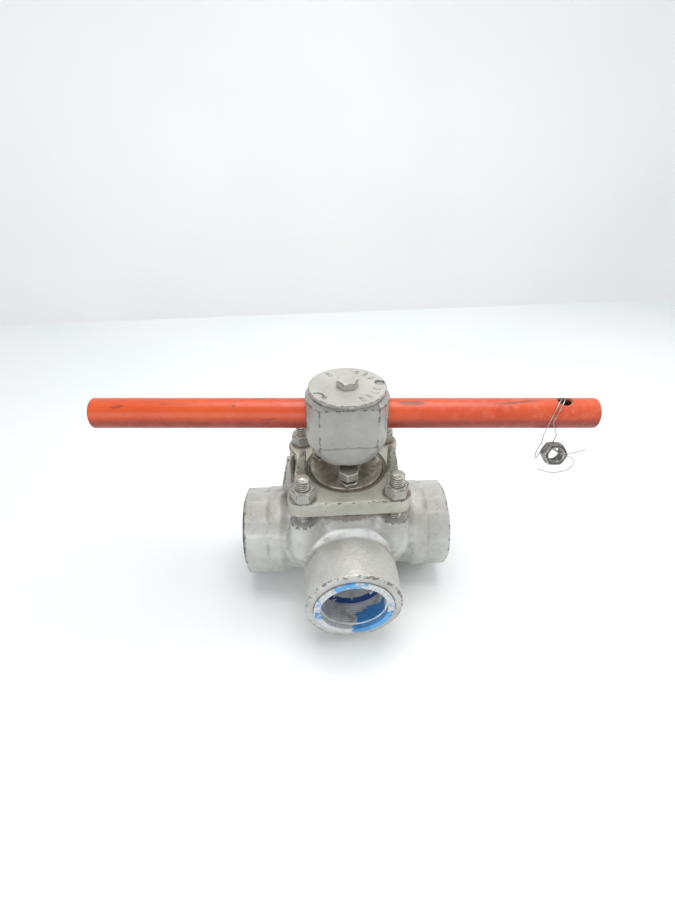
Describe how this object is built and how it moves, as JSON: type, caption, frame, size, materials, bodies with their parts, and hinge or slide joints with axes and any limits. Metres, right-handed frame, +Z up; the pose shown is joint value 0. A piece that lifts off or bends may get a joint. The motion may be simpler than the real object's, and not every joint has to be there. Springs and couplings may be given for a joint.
{
  "type": "three-way plug valve",
  "caption": "Threaded three-way tapered plug valve with a square bolted cover and a through-bar handle in a round wrench head.",
  "frame": {"origin": "centre of the base pad, under the stem", "axes": "+X along the run to the right port, -Y out of the branch port, +Z up along the stem"},
  "size_m": [0.4424, 0.1622, 0.2255],
  "materials": {
    "body_paint": "aluminium paint over a rough steel casting, worn and stained",
    "cover_paint": "the same paint, dirtier, with grime round the recess",
    "head_paint": "aluminium paint over an investment casting",
    "disc_metal": "painted plate with rubbed edges",
    "disc_grime": "painted plate under brown grime",
    "stud_steel": "bright worn thread",
    "nut_paint": "painted hexagon nut, worn at the corners",
    "screw_steel": "dull plated steel",
    "plug_steel": "ground stainless steel",
    "collar_steel": "turned steel",
    "ptfe": "white fluoropolymer",
    "packing": "graphite packing",
    "gasket": "compressed fibre",
    "handle_paint": "orange enamel on steel pipe, scuffed",
    "wire_steel": "dull iron wire",
    "hanging_steel": "dark oiled steel",
    "protector_blue": "blue thread protector with paint overspray",
    "protector_navy": "dark blue thread protector"
  },
  "bodies": {
    "valve": {"valve_body": "body_paint", "plug_sleeve": "ptfe", "top_diaphragm": "ptfe", "thrust_collar": "collar_steel", "stem_packing": "packing", "cover_gasket": "gasket", "cover_plate": "cover_paint", "adjuster_disc": "disc_grime", "cover_studs": "stud_steel", "cover_nuts": "nut_paint", "jam_nuts": "screw_steel"},
    "rotor": {"tapered_plug": "plug_steel", "plug_stem": "plug_steel", "wrench_head": "head_paint", "head_set_screw": "collar_steel", "indicator_disc": "disc_metal"},
    "handle": {"handle_pipe": "handle_paint"},
    "hanging_tag": {"tie_wire": "wire_steel", "hanging_nut": "hanging_steel"},
    "clamp_bolt": {"clamp_bolt": "screw_steel"},
    "screw_front": {"adjusting_screw_front": "screw_steel"},
    "screw_left": {"adjusting_screw_left": "screw_steel"},
    "screw_right": {"adjusting_screw_right": "screw_steel"},
    "protector_front": {"front_protector": "protector_blue"},
    "protector_left": {"left_protector": "protector_navy"}
  },
  "joints": [
    {"name": "plug_turn", "type": "hinge", "parent": "valve", "child": "rotor", "pos_m": [0, 0, 0.05], "axis": [0, 0, 1], "continuous": true},
    {"name": "handle_slide", "type": "slide", "parent": "rotor", "child": "handle", "axis": [0.9977, -0.0671, 0], "range_m": [-0.12, 0.17]},
    {"name": "tag_swing", "type": "hinge", "parent": "handle", "child": "hanging_tag", "pos_m": [0.18857, -0.01269, 0.20535], "axis": [0.9977, -0.0671, 0], "range_deg": [-45, 0]},
    {"name": "clamp_bolt_turn", "type": "hinge", "parent": "rotor", "child": "clamp_bolt", "pos_m": [0, 0, 0.2194], "axis": [0, 0, 1], "range_deg": [0, 360]},
    {"name": "screw_front_turn", "type": "hinge", "parent": "valve", "child": "screw_front", "pos_m": [0, -0.026, 0.145], "axis": [0, 0, 1], "range_deg": [-180, 180]},
    {"name": "screw_left_turn", "type": "hinge", "parent": "valve", "child": "screw_left", "pos_m": [-0.02252, 0.013, 0.145], "axis": [0, 0, 1], "range_deg": [-180, 180]},
    {"name": "screw_right_turn", "type": "hinge", "parent": "valve", "child": "screw_right", "pos_m": [0.02252, 0.013, 0.145], "axis": [0, 0, 1], "range_deg": [-180, 180]},
    {"name": "front_protector_pull", "type": "slide", "parent": "valve", "child": "protector_front", "axis": [0, -1, 0], "range_m": [0, 0.03]},
    {"name": "left_protector_pull", "type": "slide", "parent": "valve", "child": "protector_left", "axis": [-1, 0, 0], "range_m": [0, 0.03]}
  ]
}
